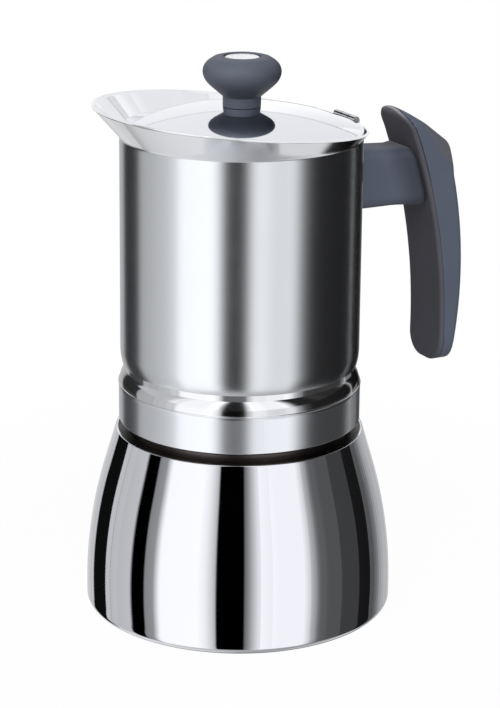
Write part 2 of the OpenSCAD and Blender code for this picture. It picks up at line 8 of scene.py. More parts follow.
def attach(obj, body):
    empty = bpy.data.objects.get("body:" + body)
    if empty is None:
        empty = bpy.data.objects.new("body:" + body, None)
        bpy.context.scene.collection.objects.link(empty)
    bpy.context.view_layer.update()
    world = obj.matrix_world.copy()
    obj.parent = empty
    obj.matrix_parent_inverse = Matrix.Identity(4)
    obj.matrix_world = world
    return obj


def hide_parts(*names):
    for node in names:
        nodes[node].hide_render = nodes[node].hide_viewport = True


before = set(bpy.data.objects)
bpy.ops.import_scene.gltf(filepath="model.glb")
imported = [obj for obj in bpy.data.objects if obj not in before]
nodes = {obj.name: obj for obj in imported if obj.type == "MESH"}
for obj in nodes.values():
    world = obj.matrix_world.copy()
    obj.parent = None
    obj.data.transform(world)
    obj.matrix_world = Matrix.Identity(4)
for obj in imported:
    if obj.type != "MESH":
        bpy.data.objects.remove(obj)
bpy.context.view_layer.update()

# Stovetop moka pot. Sizes are in millimetres and degrees; meshes are written in metres.
# +X points to the handle, -X to the spout, +Z up the pot's axis.
mm = 0.001
hair = 0.05                 # surfaces that are closer than this count as touching

cameraSetup = {
    "place": (-369.1, -694.2, 339.0),
    "heading": 61.76,       # direction of view, from +X
    "pitch": -15.68,
    "roll": 0.55,
    "lens": 120.7,
    "sensor": 36,
    "shiftUp": -0.113,      # share of the frame's height
    "nearest": 0.01,        # clipping distance in metres
}


def addCamera(setup):
    # the view's own axes from heading, pitch and roll: right and up are turned about the view direction
    heading, pitch, roll = (math.radians(setup[k]) for k in ("heading", "pitch", "roll"))
    ahead = np.array([math.cos(pitch) * math.cos(heading), math.cos(pitch) * math.sin(heading),
                      math.sin(pitch)])
    right = np.array([math.sin(heading), -math.cos(heading), 0.0])
    up = np.cross(right, ahead)
    rightRolled = math.cos(roll) * right + math.sin(roll) * up
    upRolled = math.cos(roll) * up - math.sin(roll) * right
    data = bpy.data.cameras.new("potCamera")
    data.lens = setup["lens"]
    data.sensor_width = setup["sensor"]
    data.shift_y = setup["shiftUp"]
    data.clip_start = setup["nearest"]
    camera = bpy.data.objects.new("potCamera", data)
    turn = Matrix([rightRolled, upRolled, -ahead]).transposed().to_4x4()
    camera.matrix_world = Matrix.Translation([v * mm for v in setup["place"]]) @ turn
    bpy.context.scene.collection.objects.link(camera)
    bpy.context.scene.camera = camera


addCamera(cameraSetup)
print("camera placed")


class Term:
    # one socket of a node tree; each Python operator on it adds a Math node
    def __init__(self, tree, socket):
        self.tree = tree
        self.socket = socket

    def __add__(self, other):
        return self.tree.math("ADD", self, other)

    def __sub__(self, other):
        return self.tree.math("SUBTRACT", self, other)

    def __rsub__(self, other):
        return self.tree.math("SUBTRACT", other, self)

    def __mul__(self, other):
        return self.tree.math("MULTIPLY", self, other)

    def __truediv__(self, other):
        return self.tree.math("DIVIDE", self, other)

    __radd__ = __add__
    __rmul__ = __mul__


class ShaderTree:
    # the node tree of a material or a world, emptied first
    def __init__(self, owner):
        owner.use_nodes = True
        self.tree = owner.node_tree
        self.tree.nodes.clear()

    def add(self, kind, settings=None, sockets=None, out=0):
        # settings come first, then the values or links of the sockets, by name or number
        made = self.tree.nodes.new("ShaderNode" + kind)
        for key, value in (settings or {}).items():
            if key == "stops":
                self.setStops(made.color_ramp, value)
            else:
                setattr(made, key, value)
        for key, value in (sockets or {}).items():
            socket = made.inputs[key]
            if isinstance(value, Term):
                self.tree.links.new(value.socket, socket)
            else:
                socket.default_value = value
        return Term(self, made.outputs[out]) if len(made.outputs) else made

    def setStops(self, ramp, stops):
        # stops are (place, grey level) pairs in rising order
        while len(ramp.elements) < len(stops):
            ramp.elements.new(0.5)
        for element, (place, level) in zip(ramp.elements, stops):
            element.position = place
            element.color = (level, level, level, 1)

    def math(self, operation, *values):
        return self.add("Math", {"operation": operation}, dict(enumerate(values)))

    def between(self, value, low, high):
        # 0 below low, 1 above high, smooth from one to the other
        return self.add("MapRange", {"interpolation_type": "SMOOTHSTEP"}, {0: value, 1: low, 2: high})

    def mixColour(self, share, first, second):
        return self.add("Mix", {"data_type": "RGBA"}, {0: share, 6: first, 7: second}, out=2)

    def vector(self, x, y, z):
        return self.add("CombineXYZ", None, {0: x, 1: y, 2: z})

    def noise(self, place, look):
        # look is the noise's scale, detail and roughness
        scale, detail, roughness = look
        return self.add("TexNoise", None,
                        {"Vector": place, "Scale": scale, "Detail": detail, "Roughness": roughness})

    def split(self, vector):
        # a vector's three numbers
        node = self.add("SeparateXYZ", None, {0: vector}).socket.node
        return [Term(self, node.outputs[i]) for i in range(3)]

    def place(self):
        # object coordinates as a vector and as three numbers
        whole = self.add("TexCoord", out=3)
        return whole, self.split(whole)

    def ray(self, kind):
        # 1 where the ray is of this kind
        return Term(self, self.add("LightPath").socket.node.outputs[f"Is {kind} Ray"])


def newMaterial(name):
    material = bpy.data.materials.new(name)
    return material, ShaderTree(material)


def finishMaterial(tree, sockets, bump, strength, depth):
    # one Principled shader; bump is a height that goes through a Bump node, depth its distance in metres
    normal = {"Strength": strength, "Distance": depth, "Height": bump}
    shader = tree.add("BsdfPrincipled", None, {**sockets, "Normal": tree.add("Bump", None, normal)})
    tree.add("OutputMaterial", None, {"Surface": shader})


def colour(red, green, blue):
    # screen values 0 to 255 turned into linear light
    def linear(value):
        value = value / 255
        return value / 12.92 if value <= 0.04045 else ((value + 0.055) / 1.055) ** 2.4
    return (linear(red), linear(green), linear(blue), 1.0)


# tint, roughness, how far smudges change the roughness, and strength of the lathe lines
steelLook = {
    "mirror": {"tint": (0.895, 0.91, 0.965), "rough": 0.035, "smudge": 0.03, "lines": 0.004},
    "satin": {"tint": (0.93, 0.955, 1.0), "rough": 0.225, "smudge": 0.03, "lines": 0.05},
    "band": {"tint": (0.92, 0.945, 0.995), "rough": 0.22, "smudge": 0.03, "lines": 0.08},
    "shoulder": {"tint": (0.905, 0.915, 0.95), "rough": 0.10, "smudge": 0.03, "lines": 0.01},
    "drawn": {"tint": (0.74, 0.745, 0.76), "rough": 0.24, "smudge": 0.08, "lines": 0.08},
    "polished": {"tint": (0.895, 0.905, 0.935), "rough": 0.09, "smudge": 0.04, "lines": 0.02},
    "lid": {"tint": (0.88, 0.893, 0.945), "rough": 0.05, "smudge": 0.03, "lines": 0.006},
    "disc": {"tint": (0.90, 0.90, 0.93), "rough": 0.3, "smudge": 0.05, "lines": 0.1},
    # turned is painted shade: a near-black tint for the boiler's thread, which lies in shadow under the
    # collar
    "turned": {"tint": (0.15, 0.128, 0.124), "rough": 0.32, "smudge": 0.08, "lines": 0.15},
    # seat is painted shade: a near-black tint for the boiler's seat and mouth, in shadow under the collar
    "seat": {"tint": (0.075, 0.068, 0.062), "rough": 0.35, "smudge": 0.08, "lines": 0.12},
    "fastener": {"tint": (0.68, 0.69, 0.71), "rough": 0.22, "smudge": 0.06, "lines": 0.10},
    "brass": {"tint": (0.82, 0.62, 0.30), "rough": 0.22, "smudge": 0.08, "lines": 0.10},
}
steelGrain = {
    "around": 1.5, "across": 9000,      # lathe lines: scale for each radian round and each metre across
    "lines": (1.0, 3.0, 0.7), "cloud": (45.0, 4.0, 0.6), "marks": (160.0, 5.0, 0.7),    # noises
    "marksFrom": (0.55, 0.75), "marksShare": 0.4, "dull": 0.93, "dullShare": 0.35, "depth": 0.00005,
}


def roundMetal(name, look, grain=steelGrain):
    # lathe lines are noise stretched round the axis: it reads radius and height finely and angle coarsely
    material, tree = newMaterial(name)
    whole, (x, y, z) = tree.place()
    radius = tree.math("SQRT", x * x + y * y)
    angle = tree.math("ARCTAN2", y, x)
    spread = tree.vector(angle * grain["around"], radius * grain["across"], z * grain["across"])
    lines = tree.noise(spread, grain["lines"])
    cloud = tree.noise(whole, grain["cloud"])
    marks = tree.between(tree.noise(whole, grain["marks"]), *grain["marksFrom"])
    smudge = look["smudge"]
    rough = look["rough"] + (cloud - 0.5) * smudge + marks * (smudge * grain["marksShare"])
    tint = look["tint"]
    dull = tuple(v * grain["dull"] for v in tint)
    base = tree.mixColour(cloud * grain["dullShare"], (*tint, 1), (*dull, 1))
    finishMaterial(tree, {"Base Color": base, "Metallic": 1.0, "Roughness": rough},
                   lines, look["lines"], grain["depth"])
    return material


# two close colours, roughness, and strength of the grain
plasticLook = {
    "handle": {"base": (84, 91, 106), "shade": (76, 82, 96), "rough": 0.52, "grain": 0.10},
    "inner": {"base": (82, 82, 90), "shade": (75, 75, 82), "rough": 0.58, "grain": 0.12},
    "knob": {"base": (88, 93, 106), "shade": (80, 85, 98), "rough": 0.50, "grain": 0.10},
}
plasticGrain = {
    "grain": (5200.0, 3.0, 0.6), "cloud": (55.0, 3.0, 0.55), "rubbed": (130.0, 4.0, 0.6),     # noises
    "rubbedFrom": (0.5, 0.8), "cloudRough": 0.10, "rubbedRough": 0.06, "specular": 0.35, "depth": 0.00003,
}


def softPlastic(name, look, shade=None, grain=plasticGrain):
    # a fine grain, faint clouds in the colour, and glossier rubbed places;
    # shade, where given, paints light and shade into the colour from place to place
    material, tree = newMaterial(name)
    whole, place = tree.place()
    fine = tree.noise(whole, grain["grain"])
    cloud = tree.noise(whole, grain["cloud"])
    rubbed = tree.between(tree.noise(whole, grain["rubbed"]), *grain["rubbedFrom"])
    base = tree.mixColour(cloud, colour(*look["base"]), colour(*look["shade"]))
    if shade:
        base = shade(tree, place, base)
    rough = look["rough"] + (cloud - 0.5) * grain["cloudRough"] - rubbed * grain["rubbedRough"]
    finishMaterial(tree, {"Base Color": base, "Roughness": rough, "Specular IOR Level": grain["specular"]},
                   fine, look["grain"], grain["depth"])
    return material


rubberLook = {
    "cloud": (220.0, 4.0, 0.6), "grain": (4000.0, 2.0, 0.5),      # noises
    "dull": 0.88, "rough": 0.6, "cloudRough": 0.2, "strength": 0.12, "depth": 0.00003,
}


def rubberFinish(name, red, green, blue, look=rubberLook):
    # matt rubber with a faint grain and dusty patches
    material, tree = newMaterial(name)
    whole, _ = tree.place()
    cloud = tree.noise(whole, look["cloud"])
    dull = look["dull"]
    base = tree.mixColour(cloud, colour(red, green, blue), colour(red * dull, green * dull, blue * dull))
    rough = look["rough"] + (cloud - 0.5) * look["cloudRough"]
    finishMaterial(tree, {"Base Color": base, "Roughness": rough},
                   tree.noise(whole, look["grain"]), look["strength"], look["depth"])
    return material


finishes = {key: roundMetal(key + "Steel", look) for key, look in steelLook.items()}
finishes["knob"] = softPlastic("knobPlastic", plasticLook["knob"])
finishes["seal"] = rubberFinish("sealRubber", 226, 223, 214)
finishes["valveSeal"] = rubberFinish("valveRubber", 176, 74, 58)
finishes["knobSeal"] = rubberFinish("knobRubber", 34, 34, 38)
print("finishes made")


def quads(number):
    # the four corners of every face, from a grid of point numbers
    corners = [number[:-1, :-1], number[1:, :-1], number[1:, 1:], number[:-1, 1:]]
    return np.stack(corners, -1).reshape(-1, 4)


def addMesh(name, points, faces, finish):
    # points in millimetres become an object at the origin
    mesh = bpy.data.meshes.new(name)
    mesh.from_pydata((points * mm).tolist(), [], faces)
    mesh.materials.append(finish)
    piece = bpy.data.objects.new(name, mesh)
    bpy.context.scene.collection.objects.link(piece)
    return piece


def gridMesh(name, grid, finish, wrapRows=False, sharp=40):
    # a grid of points, rows by columns, closed from the last column to the first, becomes one surface;
    # a first or last row that is one point becomes a pole
    rows, columns = grid.shape[:2]
    number = np.arange(rows * columns).reshape(rows, columns)
    for row in (0, rows - 1):
        if np.ptp(grid[row], axis=0).max() < 1e-9:
            number[row] = number[row, 0]
    number = np.vstack([number, number[:1]]) if wrapRows else number
    faces = quads(np.hstack([number, number[:, :1]]))
    points = grid.reshape(-1, 3)
    # the sign of the enclosed volume says whether the faces point outwards
    a, b, c, d = (points[faces[:, k]] for k in range(4))
    if np.sum(a * (np.cross(b, c) + np.cross(c, d))) < 0:
        faces = faces[:, ::-1]
    used, compact = np.unique(faces, return_inverse=True)
    faces = compact.reshape(-1, 4)
    # a face at a pole names one corner twice and becomes a triangle
    pinched = (faces == np.roll(faces, 1, axis=1)).any(axis=1)
    triangles = [list(dict.fromkeys(face)) for face in faces[pinched].tolist()]
    piece = addMesh(name, points[used], faces[~pinched].tolist() + triangles, finish)
    piece.data.polygons.foreach_set("use_smooth", np.ones(len(piece.data.polygons), bool))
    piece.data.set_sharp_from_angle(angle=math.radians(sharp))
    return piece


def roundedPath(corners, step=0.8, arcStep=9):
    # a line through (radius, height, fillet) corners, where each inner corner with a fillet is swapped for
    # an arc that touches both sides; straight runs get a point every step, arcs one every arcStep degrees
    spots = [np.array(corner[:2], float) for corner in corners]
    fillets = [corner[2] if len(corner) > 2 else 0.0 for corner in corners]
    pieces = [spots[0][None]]
    for before, here, after, fillet in zip(spots[:-2], spots[1:-1], spots[2:], fillets[1:-1]):
        if fillet <= 0:
            pieces.append(here[None])
            continue
        back = (before - here) / np.linalg.norm(before - here)
        ahead = (after - here) / np.linalg.norm(after - here)
        half = math.acos(np.clip(back @ ahead, -1, 1)) / 2
        middle = (back + ahead) / np.linalg.norm(back + ahead)
        center = here + middle * fillet / math.sin(half)
        start = here + back * fillet / math.tan(half) - center
        end = here + ahead * fillet / math.tan(half) - center
        turn = math.pi - 2 * half
        share = np.linspace(0, 1, max(3, int(math.degrees(turn) / arcStep) + 2))[:, None]
        sweep = (np.sin((1 - share) * turn) * start + np.sin(share * turn) * end) / math.sin(turn)
        pieces.append(center + sweep)
    pieces.append(spots[-1][None])
    joined = pieces[:1]
    for piece in pieces[1:]:
        first, last = joined[-1][-1], piece[0]
        parts = max(1, int(np.linalg.norm(last - first) / step))
        share = np.linspace(0, 1, parts + 1)[1:-1, None]
        joined += [first + (last - first) * share, piece]
    return np.vstack(joined)


def turned(path, angles):
    # the point (radius, height) turned by an angle lies at (radius cos, radius sin, height)
    radius, height = path[:, 0][:, None], path[:, 1][:, None]
    return np.stack(np.broadcast_arrays(radius * np.cos(angles), radius * np.sin(angles), height), -1)


sidesRound = 288
fullTurn = np.linspace(0, 2 * math.pi, sidesRound + 1)[:-1]
fromHinge = np.abs((fullTurn + math.pi) % (2 * math.pi) - math.pi)      # 0 at the hinge, pi at the spout


def dress(piece, body, slot, *replaced):
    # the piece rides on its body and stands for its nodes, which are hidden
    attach(piece, body)
    if replaced:
        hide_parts(*replaced)
    return piece


boilerSize = {
    "radius": 53.6, "height": 63.9, "wall": 1.0, "footRounding": 2.6,
    "sideArc": 155.0, "curveStart": 6.0, "curveEnd": 50.0,      # the side's arc and the heights it spans
    "baseDish": 0.5, "dishIn": (13, 9),         # height of the hollow base, and how far in its step lies
    "shoulderRadius": 43.1, "mouth": 38.75, "seatRadius": 42.2, "seatDepth": 0.4,
    "seatReach": 1.5,                           # the seat's near-black painted shade reaches so far down
}


def boilerSide(size, inset):
    # the side's arc between its two heights: the radius from a circle whose centre lies far inside;
    # a straight line goes on from its top to the shoulder
    height = np.linspace(size["curveStart"], size["curveEnd"], 56)
    middle = size["radius"] - size["sideArc"]
    radius = middle + np.sqrt((size["sideArc"] - inset) ** 2 - (height - size["curveStart"]) ** 2)
    return np.stack([radius, height], -1)


def makeBoiler(size):
    # turned from the middle of the base out to the foot, up the side, over the shoulder and its seat,
    # and down again inside the wall
    side = boilerSide(size, 0)
    inner = boilerSide(size, size["wall"])[::-1]
    r, wall, top, mouth = size["radius"], size["wall"], size["height"], size["mouth"]
    dish, (dishIn, footIn) = size["baseDish"], size["dishIn"]
    foot = roundedPath([(0, dish), (r - dishIn, dish, 3), (r - footIn, 0, 2),
                        (r, 0, size["footRounding"]), (r, size["curveStart"])], step=1.0)
    seat = top - size["seatDepth"]
    shoulder = roundedPath([tuple(side[-1]), (size["shoulderRadius"], top, 0.3),
                            (size["seatRadius"], top, 0.2), (size["seatRadius"], seat, 0.1),
                            (mouth, seat, 0.1), (mouth, top - wall, 0.1),
                            (size["shoulderRadius"] - wall, top - wall, 0.6), tuple(inner[0])], step=0.8)
    floor = roundedPath([tuple(inner[-1]), (r - wall, wall, 1.6), (0, wall)], step=2.0)
    path = np.vstack([foot[:-1], side, shoulder[1:-1], inner, floor[1:]])
    return gridMesh("boilerBody", turned(path, fullTurn), finishes["mirror"])


def paintFaces(piece, finish, chosen):
    # faces picked by their centre's radius and height take another finish
    count = len(piece.data.polygons)
    centers = np.empty(count * 3)
    piece.data.polygons.foreach_get("center", centers)
    centers = centers.reshape(-1, 3) / mm
    picked = chosen(np.hypot(centers[:, 0], centers[:, 1]), centers[:, 2])
    number = picked.astype(np.int32) * len(piece.data.materials)
    piece.data.materials.append(finish)
    piece.data.polygons.foreach_set("material_index", number)


boilerBody = dress(makeBoiler(boilerSize), "boiler", "boiler_steel", "boiler_shell")
# painted shade: the seat and the top of the mouth take the near-black seat tint
paintFaces(boilerBody, finishes["seat"], lambda radius, height:
           (height > boilerSize["height"] - boilerSize["seatReach"])
           & (radius < boilerSize["seatRadius"] + hair))
print("boiler made")

jugSize = {
    "radius": 41.4, "base": 87.6, "wall": 0.8, "drain": 5.5,
    "corner": 20.0, "cornerHeight": 5.4,        # radius and height of the curve above the floor
    "seam": 167.3, "seamRounding": 1.2,         # height of the flare's foot, and its rounding
    "seamIn": (0.2, 4),                         # inside: the foot is so much higher, the wall ends lower
    "slope": 0.88, "tall": 14.0,                # the flare's lean, and its height before the rim is cut
    "lip": 0.5, "lipTurn": (-0.35, 1.2),        # radius of the rolled lip, and its turn in half circles
    "rimLow": 168.15, "rimRise": 10.25, "rimPower": 0.85,           # the rim from hinge to spout
    "hingeHalf": 7.3, "hingeCut": 0.75, "hingeEase": (0.6, 1.2),    # the notch beside the hinge
}


def rimHeight(size):
    # the rim rises from the hinge to the spout with the share of the way round, drawn out by a power,
    # and is cut lower beside the hinge
    share = (1 - np.cos(fullTurn)) / 2
    reach, ease = size["hingeEase"]
    cut = np.clip((size["hingeHalf"] + reach - fromHinge * size["radius"]) / ease, 0, 1)
    return size["rimLow"] + size["rimRise"] * share ** size["rimPower"] - cut * size["hingeCut"]


def jugBottom(size, inset):
    # the floor runs out to the corner's arc, which ends in the upright wall
    start = size["base"] + size["cornerHeight"]
    center = size["radius"] - size["corner"]
    arc = size["corner"] - inset
    low = start - size["base"] - inset
    turn = np.linspace(-math.asin(low / arc), 0, 22)
    return np.stack([center + arc * np.cos(turn), start + arc * np.sin(turn)], -1)


def makeJug(size):
    # turned from the drain out along the floor, up the wall and the flare, over the lip and back inside;
    # above the seam it is stretched to the rim's height
    outerLow = jugBottom(size, 0)
    innerLow = jugBottom(size, size["wall"])[::-1]
    seam, slope, wall, r = size["seam"], size["slope"], size["wall"], size["radius"]
    ease, tall, lip = size["seamRounding"], size["tall"], size["lip"]
    high = seam + tall
    skew = wall * math.sqrt(1 + slope * slope)
    outerHigh = roundedPath([tuple(outerLow[-1]), (r, seam, ease), (r + slope * tall, high)], step=0.9)
    inUp, inDown = size["seamIn"]
    innerHigh = roundedPath([(r + slope * tall - skew, high), (r - skew + inUp, seam + inUp, ease),
                             (r - wall, seam - inDown), tuple(innerLow[0])], step=0.9)
    start = roundedPath([(size["drain"], size["base"]), tuple(outerLow[0])], step=2.0)
    end = roundedPath([tuple(innerLow[-1]), (size["drain"], size["base"] + wall)], step=2.0)
    first, last = (math.pi * half for half in size["lipTurn"])
    turn = np.linspace(first, last, 14) + math.atan2(1, slope) - math.pi / 2
    center = np.array([r + slope * tall - skew / 2, high])
    edge = center + lip * np.stack([np.cos(turn), np.sin(turn)], -1)
    path = np.vstack([start[:-1], outerLow[:-1], outerHigh[:-1], edge, innerHigh[1:-1], innerLow, end[1:]])
    grid = turned(path, fullTurn)
    # above the seam each point slides down the cone, in proportion, until the rim is at its own height
    above = np.clip((path[:, 1] - seam - ease) / (tall - ease), 0, 1)[:, None]
    drop = above * (high - rimHeight(size))
    radius = path[:, 0][:, None] - slope * drop
    grid[..., 0] = radius * np.cos(fullTurn)
    grid[..., 1] = radius * np.sin(fullTurn)
    grid[..., 2] -= drop
    # the polished rim and the satin body meet at the seam
    first, last = np.flatnonzero(path[:, 1] > seam + 2 * hair)[[0, -1]]
    body = np.vstack([grid[:first], grid[last + 1:]])
    rim = grid[first - 1:last + 2]
    return (gridMesh("jugBody", body, finishes["satin"], wrapRows=True),
            gridMesh("jugRim", rim, finishes["polished"], wrapRows=True))


for piece in makeJug(jugSize):
    dress(piece, "jug", "jug_steel", "jug_shell")

collarSize = {
    "outer": 41.96, "bottom": 67.1, "bevel": (0.5, 0.6, 0.3),       # at its lower edge: in, up and rounding
    "edge": 80.4, "bead": 0.28, "beadIn": 0.06, "beadFlat": 0.8,    # fine bead on the upper edge
    "shoulder": (34.32, 80.18, 7.5, 4, 43),     # centre, radius and first and last angle of its arc
    "waist": 39.8, "top": 87.55, "seat": 36.0, "ceiling": 80.5, "bore": 39.55,
    "pitch": 4.0, "threadDepth": 0.7, "threadEnds": (0.4, 1.5), "threadRows": 90,
}


def makeCollar(size):
    # a ring: satin band, polished sloping shoulder and waist outside, a screw thread in the bore
    outer, edge, bead, bottom = size["outer"], size["edge"], size["bead"], size["bottom"]
    top, seat, ceiling, bore = size["top"], size["seat"], size["ceiling"], size["bore"]
    center, level, rounding, first, last = size["shoulder"]
    turn = np.radians(np.linspace(first, last, 24))
    shoulder = np.stack([center + rounding * np.cos(turn), level + rounding * np.sin(turn)], -1)
    around = np.linspace(-math.pi / 2, math.pi / 2, 9)
    ridge = np.stack([outer - size["beadIn"] + bead * size["beadFlat"] * np.cos(around),
                      edge + bead * np.sin(around)], -1)
    bevelIn, bevelUp, soft = size["bevel"]
    band = roundedPath([(bore, bottom), (outer - bevelIn, bottom, soft), (outer, bottom + bevelUp, soft),
                        (outer, edge - bead - 0.1), tuple(ridge[0])], step=0.8)
    slope = roundedPath([tuple(ridge[-1]), tuple(shoulder[0])], step=0.3)
    waist = roundedPath([tuple(shoulder[-1]), (size["waist"], top)], step=0.5)
    inside = roundedPath([tuple(waist[-1]), (seat, top, 0.1), (seat, ceiling, 0.1), (bore, ceiling, 0.2),
                          (bore, ceiling - 0.8)], step=0.6)
    rows = size["threadRows"]
    thread = np.stack([np.full(rows, bore), np.linspace(ceiling - 0.9, bottom + 0.1, rows)], -1)
    path = np.vstack([band, ridge[1:], slope[1:], shoulder[1:-1], waist, inside[1:], thread])
    grid = turned(path, fullTurn)
    # the thread's groove is a clipped wave that climbs one pitch for each turn and fades out at both ends
    low, high = size["threadEnds"]
    height = path[:, 1]
    fade = np.clip((height - bottom - low) / high, 0, 1) * np.clip((ceiling - high - height) / high, 0, 1)
    fade[:-rows] = 0
    phase = height[:, None] / size["pitch"] - fullTurn / (2 * math.pi)
    groove = np.clip(0.5 + 0.9 * np.cos(2 * math.pi * phase), 0, 1) * size["threadDepth"]
    grid[..., :2] *= (1 + groove * fade[:, None] / bore)[..., None]
    return gridMesh("collarRing", grid, finishes["band"], wrapRows=True)


collar = dress(makeCollar(collarSize), "jug", "collar_steel", "jug_collar")
paintFaces(collar, finishes["shoulder"], lambda radius, height:
           (height > collarSize["edge"] - collarSize["bead"]) & (radius > collarSize["bore"] + hair))
print("jug and collar made")

lidSize = {
    "radius": 41.4, "edge": 168.9, "rise": 7.7, "wall": 0.8, "underIn": 0.9,
    "bead": 0.6, "beadTurn": (75, -115), "beadDrop": 0.95,      # round bead of the edge, from top to inside
    "notch": 39.3, "notchHalf": 7.3, "notchFrom": 30.0,         # the straight cut, and where it sets in
}


def makeLid(size):
    # a ball segment, top and underside, joined by a round bead; beside the hinge the edge is cut straight
    radius, rise, wall, bead = size["radius"], size["rise"], size["wall"], size["bead"]
    arc = (radius ** 2 + rise ** 2) / (2 * rise)
    apex = size["edge"] + wall + rise
    reach = radius - bead
    turn = np.linspace(*np.radians(size["beadTurn"]), 14)
    top = np.linspace(0, reach + bead * math.cos(turn[0]), 70)
    under = np.linspace(reach - size["underIn"], 0, 60)
    beadHeight = apex - arc + math.sqrt(arc ** 2 - reach ** 2) - bead * size["beadDrop"]
    path = np.vstack([
        np.stack([top, apex - arc + np.sqrt(arc ** 2 - top ** 2)], -1),
        np.stack([reach + bead * np.cos(turn), beadHeight + bead * np.sin(turn)], -1)[1:],
        np.stack([under, apex - arc + np.sqrt((arc - wall) ** 2 - under ** 2)], -1),
    ])
    grid = turned(path, fullTurn)
    # near the hinge the radii shrink, in proportion, to the straight cut;
    # 1.2 and 0.3 keep the tangent and the cosine in bounds everywhere else
    notch, start = size["notch"], size["notchFrom"]
    cut = np.abs(notch * np.tan(np.minimum(fromHinge, 1.2))) < size["notchHalf"]
    limit = np.where(cut, notch / np.maximum(np.cos(fullTurn), 0.3), radius)
    share = np.clip((path[:, 0] - start) / (radius - start), 0, 1)[:, None]
    shrink = 1 - share * (1 - np.minimum(limit / radius, 1))
    grid[..., :2] *= shrink[..., None]
    return gridMesh("lidDome", grid, finishes["lid"])


lid = dress(makeLid(lidSize), "lid", "lid_steel", "lid_plate")
lid.visible_diffuse = False
print("lid made")

knobSize = {
    "base": 177.1, "bevel": 0.3, "neck": 6.5, "neckTop": 180.7, "top": 194.35,
    "belly": [(8.7, 182.6), (10.75, 184.3), (12.45, 186.0), (13.2, 187.7), (13.45, 189.2), (13.1, 190.9),
              (12.0, 192.5), (9.6, 193.9)],     # radius and height from the neck up to the crown
    "smoothing": 30, "crown": 8.2, "cup": 6.4, "cupDepth": 1.2,
    "disc": 5.95, "discDepth": 0.25, "discGap": 0.02, "discCrown": 0.1,
    "discBevel": (0.5, 0.25),                   # in and down
}


def makeKnob(size):
    # a stem, a hollow cone that swells to the widest ring, and a crowned top with a cup for the disc
    base, neck, neckTop, top = size["base"], size["neck"], size["neckTop"], size["top"]
    cup, cupFloor, bevel = size["cup"], size["top"] - size["cupDepth"], size["bevel"]
    knots = np.array([(neck, neckTop), *size["belly"]])
    along = np.linspace(0, len(knots) - 1, 60)
    belly = np.stack([np.interp(along, np.arange(len(knots)), knots[:, k]) for k in range(2)], -1)
    for _ in range(size["smoothing"]):
        belly[1:-1] = belly[1:-1] * 0.5 + (belly[:-2] + belly[2:]) * 0.25
    lower = roundedPath([(0, base), (neck - bevel, base, 0.2), (neck, base + bevel, 0.2), (neck, neckTop)],
                        step=0.4)
    upper = roundedPath([tuple(belly[-1]), (size["crown"], top - 0.1, 1.5), (cup, top, 0.15),
                         (cup, cupFloor, 0.1), (0, cupFloor)], step=0.4)
    path = np.vstack([lower[:-1], belly, upper[1:]])
    return gridMesh("knobGrip", turned(path, fullTurn[::2]), finishes["knob"])


def makeDisc(size):
    # a flat disc with a bevelled edge and a slight crown
    top = size["top"] - size["discDepth"]
    low = size["top"] - size["cupDepth"] + size["discGap"]
    disc, (bevelIn, bevelDown) = size["disc"], size["discBevel"]
    path = roundedPath([(0, low), (disc, low, 0.1), (disc, top - bevelDown, 0.2),
                        (disc - bevelIn, top - hair, 0.3), (0, top + size["discCrown"])], step=0.4)
    return gridMesh("knobDisc", turned(path, fullTurn[::2]), finishes["disc"])


dress(makeKnob(knobSize), "lid", "knob_plastic", "knob_body")
dress(makeDisc(knobSize), "lid", "lid_steel", "knob_insert")
print("knob made")

handleSize = {
    "innerArc": (-125.9, 91.0, 201.5),      # centre and radius of the grip's inner curve
    "outerArc": (-75.2, 110.8, 161.4),      # centre and radius of its outer curve
    "crown": 23.0, "half": 10.5, "bottom": 77.8, "corner": 8.4,
    "layer": 1.8, "seamGap": 0.12,          # thickness of the inner layer, and the gap behind it
    "thumb": (59.5, 172.5, 35.4),           # x and z of a point on the thumb's slope, and its angle
    "chamfer": (65.0, 167.6, 67.9, 59.4),   # x and z of a point on the facets, their lean and turn
    "topRound": (159.6, 12.6),              # height of the centre and radius of the round top
    "swell": (147.0, 156.0, 1.1),           # from this height to this the back comes out by so much
    "tip": (161.0, 170.0, 1.1),             # from this height to this the tip comes forward by so much
    "edge": (1.3, 2.3),                     # rounding of the face's edge, along the sides and at the tip
    "edgeRise": (160.0, 9.0),               # height where the rounding starts to grow, and over how much
    "armHalf": 8.0, "armLow": 137.4, "armHigh": 159.1, "armFall": 0.06, "jug": 41.5,
    "flare": 1.7,                           # how far the arm widens at the grip
    "flareRun": (14.0, 9.0),                # over this length at its underside, so much less at its top
    "flareUp": 0.25,                        # share of the widening that goes up and down
    "gripGap": 0.02,
}
# how far the creases between the handle's surfaces are rounded
creaseSize = {
    "top": 1.0, "thumb": 1.7, "back": 1.2, "facet": 0.5, "layer": 0.3, "arm": 4.6, "armEnd": 2.5,
    "armJug": 0.5,
}
# for castSolid: first and last place along the piece, nearest and furthest out, half width and rows;
# then the root's places along the piece and out from its curve
castSize = {
    "handleBlock": {"box": (38.0, 75.0, -13.0, 13.0, 12.0, 150), "along": [50.0, 58.0], "out": [0.0, 0.0]},
    "gripShell": {"box": (-9.5, 29.5, 0.3, 20.0, 12.0, 200), "along": [-2.6, 0.0, 14.0, 20.0, 22.0],
                  "out": [4.5, 5.5, 5.5, 4.2, 2.8]},
    "gripFace": {"box": (-9.5, 29.5, -0.6, 2.2, 12.0, 200), "along": [-3.0, 22.6], "out": [0.9, 0.9]},
}


def softMax(first, second, blend):
    # the larger of two distances, with the crease between them rounded over the blend length
    overlap = np.maximum(blend - np.abs(first - second), 0)
    return np.maximum(first, second) + overlap * overlap / (4 * blend)


def arcDistance(points, arc):
    # how far a point lies outside a cylinder that runs along Y
    return np.hypot(points[..., 0] - arc[0], points[..., 2] - arc[1]) - arc[2]


